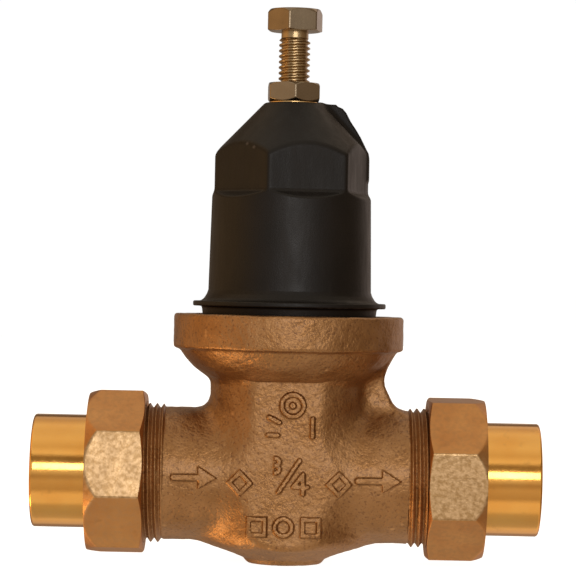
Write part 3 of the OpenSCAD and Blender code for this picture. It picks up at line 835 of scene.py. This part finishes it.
def make_tailpiece(side):
    label = "outlet" if side > 0 else "inlet"
    rows = [(COLLAR_X, 12.0), (COLLAR_X, COLLAR_R - 0.4)]
    rows += fillet(COLLAR_X + 0.4, COLLAR_R - 0.4, 0.4, -90, 0)
    rows += fillet(COLLAR_X + 3.9, COLLAR_R - 0.4, 0.4, 0, 90)
    rows += [(COLLAR_X + 4.3, TAIL_R + 0.3), (COLLAR_X + 4.6, TAIL_R)]
    rows += ramp_rows(COLLAR_X + 5, MOUTH_X - 1.0, TAIL_R, 1.0)
    rows += fillet(MOUTH_X - 0.7, TAIL_R - 0.7, 0.7, 0, 90, 8)
    rows += fillet(MOUTH_X - 0.35, SOCKET_R + 0.35, 0.35, 90, 180)
    rows += ramp_rows(MOUTH_X - 1.0, SOCKET_X + 0.3, SOCKET_R, 1.5)
    rows += [(SOCKET_X, SOCKET_R - 0.1), (SOCKET_X, TAIL_BORE_R + 0.2), (SOCKET_X - 0.2, TAIL_BORE_R)]
    rows += [(COLLAR_X + 0.2, TAIL_BORE_R), (COLLAR_X, TAIL_BORE_R + 0.2)]
    obj = turned(label + "_tailpiece_turned", rows, even_angles(128))
    set_on_port(obj, side)
    return dress(obj, "polished_brass", label + "_tail", [label + "_tailpiece"])


def screw_thread(angle, along, start, depth):
    """The height of the right-handed screw thread, above its root."""
    return depth * tooth((along - start) / SCREW_PITCH - angle / TAU, 0.24)


def make_screw():
    corner_r = HEAD_FLAT_R / math.cos(math.pi / 6)
    flats = prism_cap(6, HEAD_FLAT_R, HEAD_TURN, HEAD_Z, SCREW_TOP, 0.3, 1.0)
    root = SCREW_R - SCREW_DEPTH

    def shape(angle, along, radius):
        thread = root + screw_thread(angle, along, SCREW_TIP, SCREW_DEPTH)
        start = root - 0.3 + np.maximum(along - SCREW_TIP, 0) * 1.2
        end = np.maximum(NECK_R, NECK_R + (NECK_Z - along) * 0.9)
        thread = np.minimum.reduce([np.where(along < NECK_Z, thread, NECK_R), start, end, radius])
        return np.where(along < HEAD_Z - 0.01, thread, flats(angle, along, radius))

    rows = [(SCREW_TIP, 1.0), (SCREW_TIP, 2.2)]
    rows += ramp_rows(SCREW_TIP, HEAD_Z - 0.05, SCREW_R, SCREW_PITCH / 12)
    rows += [(HEAD_Z, 3.6), (HEAD_Z, 5.6)] + ramp_rows(HEAD_Z, HEAD_Z + 0.5, corner_r, 0.1)
    rows += ramp_rows(HEAD_Z + 1, SCREW_TOP - 1.4, corner_r, 0.8)
    rows += ramp_rows(SCREW_TOP - 1.2, SCREW_TOP, corner_r, 0.08)
    rows += [(SCREW_TOP, 5.4), (SCREW_TOP, 3.0), (SCREW_TOP, 1.0)]
    obj = turned("adjusting_screw_turned", rows, corner_angles(6, HEAD_TURN, 14), shape, closed=False)
    return dress(obj, "screw_brass", "adjusting_screw", ["adjusting_screw"])


def make_lock_nut():
    corner_r = HEAD_FLAT_R / math.cos(math.pi / 6)
    flats = prism_cap(6, HEAD_FLAT_R, LOCK_NUT_TURN, LOCK_NUT_Z, LOCK_NUT_TOP, 0.8, 0.8)
    bore = SCREW_R + 0.06

    def shape(angle, along, radius):
        inner = np.isclose(radius, bore)
        groove = screw_thread(angle, along, LOCK_NUT_Z, 0.55)
        return np.where(inner, bore + groove, flats(angle, along, radius))

    rows = [(LOCK_NUT_Z, 4.9), (LOCK_NUT_Z, 5.8)] + ramp_rows(LOCK_NUT_Z, LOCK_NUT_Z + 1.1, corner_r, 0.08)
    rows += ramp_rows(LOCK_NUT_Z + 1.4, LOCK_NUT_TOP - 1.4, corner_r, 0.6)
    rows += ramp_rows(LOCK_NUT_TOP - 1.1, LOCK_NUT_TOP, corner_r, 0.08)
    rows += [(LOCK_NUT_TOP, 5.8), (LOCK_NUT_TOP, 4.9), (LOCK_NUT_TOP - 0.5, bore + 0.05)]
    rows += ramp_rows(LOCK_NUT_TOP - 0.6, LOCK_NUT_Z + 0.6, bore, SCREW_PITCH / 12)
    rows += [(LOCK_NUT_Z + 0.5, bore + 0.05)]
    obj = turned("lock_nut_turned", rows, corner_angles(6, LOCK_NUT_TURN, 16), shape)
    return dress(obj, "dull_brass", "lock_nut", ["lock_nut"])


def make_insert():
    bore = SCREW_R + 0.06
    low_z = low("thread_insert")[2]
    rim_r, rim_z = INSERT_R, INSERT_TOP - 1.0

    def shape(angle, along, radius):
        inner = np.isclose(radius, bore)
        knurl = np.isclose(radius, 6.0) & (np.abs(along - low_z - 4.5) < 3)
        radius = np.where(knurl, 6.0 - 0.25 * np.abs(np.sin(angle * 18)), radius)
        return np.where(inner, bore + screw_thread(angle, along, low_z, 0.55), radius)

    rows = [(low_z, 5.7)] + ramp_rows(low_z + 0.3, rim_z, 6.0, 0.7)
    rows += [(rim_z, rim_r - 0.2)] + fillet(INSERT_TOP - 0.25, rim_r - 0.25, 0.25, 0, 90)
    rows += [(INSERT_TOP, 4.9), (INSERT_TOP - 0.5, bore + 0.05)]
    rows += ramp_rows(INSERT_TOP - 0.6, low_z + 0.6, bore, SCREW_PITCH / 12)
    rows += [(low_z + 0.5, bore + 0.05), (low_z, 4.6)]
    obj = turned("thread_insert_turned", rows, even_angles(108), shape)
    return dress(obj, "machined_brass", "valve_body", ["thread_insert"])


def make_diaphragm():
    """The dished moulding, as one fixed piece: its rim stays in the body."""
    bottom, top = low("diaphragm")[2], high("diaphragm")[2]
    ledge, rim_r, hole_r = LEDGE_Z, high("diaphragm")[0], 2.96
    low_line = [(hole_r, bottom), (8, bottom), (11.2, bottom + 0.05), (12.4, bottom + 0.8)]
    low_line += [(13.6, bottom + 2.9), (14.6, bottom + 4.7), (15.2, ledge - 0.4), (16.2, ledge)]
    low_line += [(19, ledge), (rim_r - 0.3, ledge)]
    high_line = [(rim_r, ledge + 0.3), (rim_r, top - 0.3), (rim_r - 0.3, top), (19, top), (15.9, top - 0.05)]
    high_line += [(14.9, top - 0.45), (14.25, ledge + 0.6), (13.4, bottom + 4.6), (12.3, bottom + 2.9)]
    high_line += [(11.3, bottom + 1.6), (10.6, bottom + 1.4), (hole_r, bottom + 1.4)]
    rows = [(z, r) for r, z in low_line + high_line]
    obj = turned("diaphragm_moulding", rows, even_angles(96), sharp=60)
    dress(obj, "rubber")
    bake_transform(obj)
    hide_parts("diaphragm")
    return obj


def coil_height(turn, turns, start, end, wire):
    """The height of the wire's middle: the end turns lie flat, and the others rise evenly."""
    rise = (end - start - wire * 3) / (turns - 2)
    lower = start + wire / 2 + wire * turn
    upper = end - wire / 2 - wire * (turns - turn)
    middle = start + wire * 1.5 + rise * (turn - 1)
    return np.where(turn < 1, lower, np.where(turn > turns - 1, upper, middle))


def make_spring():
    """The spring in two pieces: the lower stays where it is built, and the upper is attached to the valve
    body.
    """
    start, end = low("adjusting_spring")[2], high("adjusting_spring")[2]
    wire, turns, split = 3.1, 7, 2.5
    mean = high("adjusting_spring")[0] - 1.6
    made = []
    stretches = (("adjusting_spring_lower", 0.0, split), ("adjusting_spring_upper", split, turns))
    for name, first, last in stretches:
        turn = np.linspace(first, last, round((last - first) * 72) + 1)
        k = even_angles(20)
        reach = mean + wire / 2 * np.cos(k)[None, :]
        angle = (turn * TAU)[:, None]
        height = coil_height(turn, turns, start, end, wire)[:, None] + wire / 2 * np.sin(k)[None, :]
        height = np.minimum(np.maximum(height, start), end)
        points = np.stack([reach * np.cos(angle), reach * np.sin(angle), height], 2).reshape(-1, 3)
        n, m = len(turn), len(k)
        i, j = np.meshgrid(np.arange(n - 1), np.arange(m), indexing="ij")
        j2 = (j + 1) % m
        quads = np.stack([i * m + j, (i + 1) * m + j, (i + 1) * m + j2, i * m + j2], 2)
        faces = quads.reshape(-1, 4).tolist()
        faces += [list(range(m)), [(n - 1) * m + q for q in range(m - 1, -1, -1)]]
        mesh = bpy.data.meshes.new(name)
        mesh.from_pydata((points * MM).tolist(), [], faces)
        mesh.polygons.foreach_set("use_smooth", np.ones(len(mesh.polygons), dtype=bool))
        mesh.set_sharp_from_angle(angle=math.radians(50))
        made.append(piece(name, mesh))
    lower, upper = made
    dress(lower, "steel")
    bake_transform(lower)
    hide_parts("adjusting_spring")
    dress(upper, "steel", "valve_body", ["adjusting_spring"])
    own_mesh(upper)


make_body()
make_bonnet()
for side, corner in ((-1, INLET_NUT_CORNER), (1, OUTLET_NUT_CORNER)):
    make_nut(side, corner)
    make_tailpiece(side)
make_screw()
make_lock_nut()
make_insert()
make_diaphragm()
make_spring()

KEPT_NODES = {
    "machined_brass": ["stem", "diaphragm_washer", "stem_nut", "cartridge_barrel", "disc_holder"],
    "rubber": ["piston_oring", "barrel_upper_oring", "barrel_lower_oring", "seat_disc"],
    "steel": ["spring_button", "diaphragm_plate", "seat_ring", "strainer_screen", "disc_screw"],
    "fibre": ["friction_ring", "inlet_gasket", "outlet_gasket"],
}
for name, node_names in KEPT_NODES.items():
    for node in node_names:
        dress(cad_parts[node], name)


# ---------------------------------------------------------------- floor, light and camera
def staged(name, mesh, colour, glow):
    """A piece of the studio: only the camera sees it, so it lights nothing."""
    obj = piece(name, mesh)
    made = bpy.data.materials.new(name)
    made.use_nodes = True
    shader = made.node_tree.nodes["Principled BSDF"]
    socket(shader, "Base Color", (*colour, 1))
    socket(shader, "Roughness", 0.8)
    socket(shader, "Emission Color", (1, 1, 1, 1))
    socket(shader, "Emission Strength", glow)
    mesh.materials.append(made)
    obj.visible_glossy = False
    obj.visible_diffuse = False
    obj.visible_shadow = False
    return obj


def lamp(name, azimuth, elevation, distance, width, height, power, colour):
    """A soft box round the middle of the object. Azimuth 0 is the camera's side, and 90 the outlet side."""
    light = bpy.data.lights.new(name, "AREA")
    light.shape = "RECTANGLE"
    light.size, light.size_y, light.energy, light.color = width, height, power, colour
    obj = bpy.data.objects.new(name, light)
    a, e = math.radians(azimuth), math.radians(elevation)
    back = Vector((math.sin(a) * math.cos(e), -math.cos(a) * math.cos(e), math.sin(e)))
    obj.location = CENTRE + back * distance
    obj.rotation_mode = "QUATERNION"
    obj.rotation_quaternion = (-back).to_track_quat("-Z", "Y")
    obj.visible_camera = False
    bpy.context.scene.collection.objects.link(obj)
    return obj


def ball(name, radius, rings=48):
    """The mesh of a sphere."""
    bends = [math.pi * k / rings for k in range(1, rings)]
    rows = [(-math.cos(bend) * radius, math.sin(bend) * radius) for bend in bends]
    obj = turned(name, rows, even_angles(96), closed=False, sharp=180)
    mesh = obj.data
    bpy.data.objects.remove(obj)
    return mesh


CENTRE = (Vector(cad_bounds[0]) + Vector(cad_bounds[1])) / 2
STUDIO = 3.0 / MM
FLOOR_R = STUDIO * 0.9
staged("backdrop", ball("backdrop", STUDIO), (0, 0, 0), 1.0)
floor_disc = turned("floor", [(-1, FLOOR_R), (0, FLOOR_R)], even_angles(96), closed=False)
floor_mesh = floor_disc.data
bpy.data.objects.remove(floor_disc)
staged("floor", floor_mesh, (0.75, 0.75, 0.74), 0.93)

lamp("key", 6, 10, 1.3, 0.75, 0.28, 3.1, (1.0, 0.98, 0.96))
lamp("warm", -85, -42, 1.2, 0.35, 0.30, 3.0, (1.0, 0.62, 0.26))

world = bpy.data.worlds.new("studio")
bpy.context.scene.world = world
world.use_nodes = True
sky, links = world.node_tree.nodes, world.node_tree.links


def sky_maths(kind, a, b=0.0):
    made = sky.new("ShaderNodeMath")
    made.operation = kind
    for at, value in ((0, a), (1, b)):
        if isinstance(value, float):
            made.inputs[at].default_value = value
        else:
            links.new(value, made.inputs[at])
    return made.outputs[0]


def sky_ramp(value, low_in, high_in, stops):
    """Colours by a value: stops are (value, red, green, blue)."""
    spread = sky.new("ShaderNodeMapRange")
    socket(spread, "From Min", low_in)
    socket(spread, "From Max", high_in)
    links.new(value, spread.inputs["Value"])
    made = sky.new("ShaderNodeValToRGB")
    elements = made.color_ramp.elements
    while len(elements) < len(stops):
        elements.new(0.5)
    for element, (at, *colour) in zip(elements, stops):
        element.position = (at - low_in) / (high_in - low_in)
        element.color = (*colour, 1)
    links.new(spread.outputs["Result"], made.inputs["Fac"])
    return made.outputs["Color"]


def sky_mix(way, factor, a, b):
    made = sky.new("ShaderNodeMix")
    made.data_type = "RGBA"
    made.blend_type = way
    for at, value in ((0, factor), (6, a), (7, b)):
        if isinstance(value, tuple):
            made.inputs[at].default_value = (*value, 1)
        elif isinstance(value, float):
            made.inputs[at].default_value = value
        else:
            links.new(value, made.inputs[at])
    return made.outputs[2]


where = sky.new("ShaderNodeTexCoord")
parts = sky.new("ShaderNodeSeparateXYZ")
links.new(where.outputs["Generated"], parts.inputs["Vector"])
azimuth = sky_maths("ARCTAN2", parts.outputs["X"], sky_maths("MULTIPLY", parts.outputs["Y"], -1.0))
azimuth = sky_maths("MULTIPLY", azimuth, 180 / math.pi)
elevation = sky_maths("MULTIPLY", sky_maths("ARCSINE", parts.outputs["Z"]), 180 / math.pi)
BY_HEIGHT = [
    (-90, 0.46, 0.44, 0.40), (-72, 0.54, 0.49, 0.42), (-64, 0.84, 0.74, 0.60), (-45, 0.84, 0.72, 0.57),
    (-36, 0.46, 0.38, 0.30), (-18, 0.56, 0.48, 0.40),
    (-8, 0.38, 0.32, 0.26), (0, 0.60, 0.56, 0.52), (17, 0.60, 0.56, 0.52), (23, 0.22, 0.18, 0.13),
    (31, 0.24, 0.19, 0.13), (38, 0.90, 0.82, 0.70), (52, 0.70, 0.60, 0.46), (70, 0.86, 0.78, 0.66),
    (90, 0.78, 0.70, 0.60),
]
BY_SIDE = [
    (-180, 0.55, 0.50, 0.46), (-140, 0.45, 0.34, 0.24), (-112, 1.20, 0.80, 0.42), (-80, 1.60, 1.08, 0.56),
    (-58, 1.20, 0.92, 0.62), (-45, 1.0, 1.0, 1.0), (42, 1.0, 1.0, 1.0), (56, 0.62, 0.52, 0.42),
    (80, 0.48, 0.38, 0.28), (112, 0.34, 0.27, 0.20), (140, 1.25, 1.06, 0.98), (180, 0.55, 0.50, 0.46),
]
by_height = sky_ramp(elevation, -90, 90, BY_HEIGHT)
by_side = sky_ramp(azimuth, -180, 180, BY_SIDE)
near_pole = sky_ramp(sky_maths("ABSOLUTE", parts.outputs["Z"]), 0, 1, [(0.55, 0, 0, 0), (0.95, 1, 1, 1)])
near_pole_value = sky.new("ShaderNodeRGBToBW")
links.new(near_pole, near_pole_value.inputs["Color"])
by_side = sky_mix("MIX", near_pole_value.outputs["Val"], by_side, (0.9, 0.9, 0.9))
links.new(sky_mix("MULTIPLY", 1.0, by_height, by_side), sky["Background"].inputs["Color"])
socket(sky["Background"], "Strength", 1.0)

SENSOR = 0.036
DISTANCE = 0.690
VIEW_WIDTH = 0.1463
AIM_X, AIM_Z = -0.43, -0.5
ROLL = 1.2
camera_data = bpy.data.cameras.new("camera")
camera_data.sensor_width = SENSOR * 1000
camera_data.lens = SENSOR * 1000 * DISTANCE / VIEW_WIDTH
camera_data.clip_start, camera_data.clip_end = 0.05, 20
camera = bpy.data.objects.new("camera", camera_data)
camera.matrix_world = (
    Matrix.Translation((CENTRE.x + AIM_X * MM, -DISTANCE, CENTRE.z + AIM_Z * MM))
    @ Matrix.Rotation(math.pi / 2, 4, "X")
    @ Matrix.Rotation(math.radians(ROLL), 4, "Z")
)
bpy.context.scene.collection.objects.link(camera)
bpy.context.scene.camera = camera
bpy.context.scene.view_settings.view_transform = "Standard"

bpy.context.view_layer.update()
